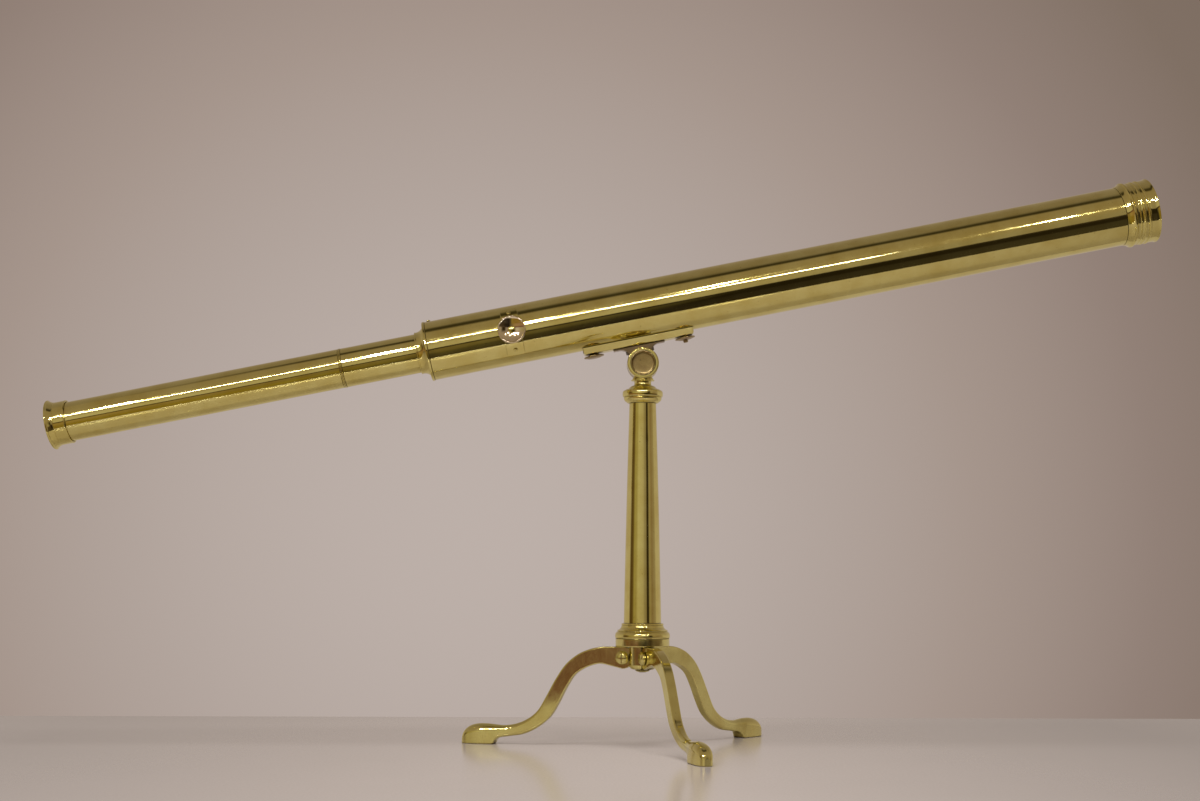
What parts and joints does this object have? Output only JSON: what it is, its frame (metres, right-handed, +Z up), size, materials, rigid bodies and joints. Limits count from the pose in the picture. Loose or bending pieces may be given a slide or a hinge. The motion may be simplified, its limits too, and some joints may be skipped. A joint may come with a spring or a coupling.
{
  "type": "telescope on stand",
  "caption": "Polished brass library telescope with rack-and-pinion focusing, on a pillar stand with folding cabriole legs, a swivel and a tilting joint.",
  "frame": {"origin": "middle of the bounding box on the surface that the feet stand on", "axes": "+X level along the telescope towards the objective, +Y away from the focusing knob's side, +Z up"},
  "size_m": [1.1018, 0.3114, 0.5634],
  "materials": {
    "polished_brass": "mirror polished and lacquered, with fine wipe marks",
    "dark_brass": "unpolished, darkened brass of inner and small pieces",
    "steel": "fine machined steel",
    "glass": "polished optical glass"
  },
  "bodies": {
    "stand": {"leg_hub": "polished_brass", "base_moulding": "polished_brass", "column": "polished_brass", "column_collar": "polished_brass", "rod_plug": "dark_brass", "tie_rod": "steel", "tie_nut": "polished_brass"},
    "left_leg": {"leg_left": "polished_brass", "leg_screw_left": "polished_brass", "leg_nut_left": "polished_brass"},
    "front_leg": {"leg_front": "polished_brass", "leg_screw_front": "polished_brass", "leg_nut_front": "polished_brass"},
    "back_leg": {"leg_back": "polished_brass", "leg_screw_back": "polished_brass", "leg_nut_back": "polished_brass"},
    "swivel_head": {"yoke": "polished_brass", "pivot_pin": "polished_brass", "pivot_nut": "polished_brass", "swivel_washer": "dark_brass", "swivel_nut": "steel"},
    "telescope_body": {"bracket": "polished_brass", "mounting_bar": "polished_brass", "bracket_screw_rear": "polished_brass", "bracket_screw_front": "polished_brass", "tube_pad_rear": "dark_brass", "tube_pad_front": "dark_brass", "main_tube": "polished_brass", "tail_collar": "polished_brass", "tail_screw_top": "polished_brass", "tail_screw_far": "polished_brass", "objective_cell": "polished_brass", "flint_lens": "glass", "lens_spacer": "steel", "crown_lens": "glass", "retaining_ring": "dark_brass", "light_stop": "dark_brass", "pinion_saddle": "polished_brass", "saddle_screw_top": "polished_brass", "saddle_screw_bottom": "polished_brass"},
    "rear_thumb_screw": {"thumb_screw_rear": "polished_brass"},
    "front_thumb_screw": {"thumb_screw_front": "polished_brass"},
    "drawtube": {"draw_tube": "polished_brass", "guide_ring": "dark_brass", "coupling_ring": "polished_brass", "eyepiece_tube": "polished_brass", "erector_tube": "dark_brass", "erector_lens_front": "glass", "erector_lens_rear": "glass", "field_lens": "glass", "eye_lens": "glass", "eyepiece_cap": "polished_brass", "rack": "steel"},
    "focus_pinion": {"pinion": "steel", "focus_knob": "polished_brass", "knob_screw": "polished_brass"}
  },
  "joints": [
    {"name": "left_leg_fold", "type": "hinge", "parent": "stand", "child": "left_leg", "pos_m": [0.01764, 0.02537, 0.086], "axis": [-0.2385, -0.9711, 0], "range_deg": [0, 55]},
    {"name": "front_leg_fold", "type": "hinge", "parent": "stand", "child": "front_leg", "pos_m": [0.04152, 0.00247, 0.086], "axis": [0.9603, 0.279, 0], "range_deg": [0, 55]},
    {"name": "back_leg_fold", "type": "hinge", "parent": "stand", "child": "back_leg", "pos_m": [0.04941, 0.0346, 0.086], "axis": [-0.7218, 0.6921, 0], "range_deg": [0, 55]},
    {"name": "azimuth_swivel", "type": "hinge", "parent": "stand", "child": "swivel_head", "pos_m": [0.03619, 0.02082, 0.3516], "axis": [0, 0, 1], "continuous": true},
    {"name": "altitude_tilt", "type": "hinge", "parent": "swivel_head", "child": "telescope_body", "pos_m": [0.03619, 0.02082, 0.3743], "axis": [0, -1, 0], "range_deg": [-40, 26]},
    {"name": "rear_thumb_screw_turn", "type": "hinge", "parent": "telescope_body", "child": "rear_thumb_screw", "pos_m": [-0.01291, 0.02082, 0.38395], "axis": [-0.1985, 0, 0.9801], "continuous": true},
    {"name": "front_thumb_screw_turn", "type": "hinge", "parent": "telescope_body", "child": "front_thumb_screw", "pos_m": [0.07766, 0.02082, 0.40229], "axis": [-0.1985, 0, 0.9801], "continuous": true},
    {"name": "focus_slide", "type": "slide", "parent": "telescope_body", "child": "drawtube", "axis": [0.9801, 0, 0.1985], "range_m": [-0.035, 0.035]},
    {"name": "pinion_turn", "type": "hinge", "parent": "telescope_body", "child": "focus_pinion", "pos_m": [-0.09256, 0.02082, 0.40291], "axis": [0, -1, 0], "range_deg": [-425, 425]}
  ],
  "couplings": [
    {"joint": "pinion_turn", "follows": "focus_slide", "rad_per_m": 208.33}
  ]
}
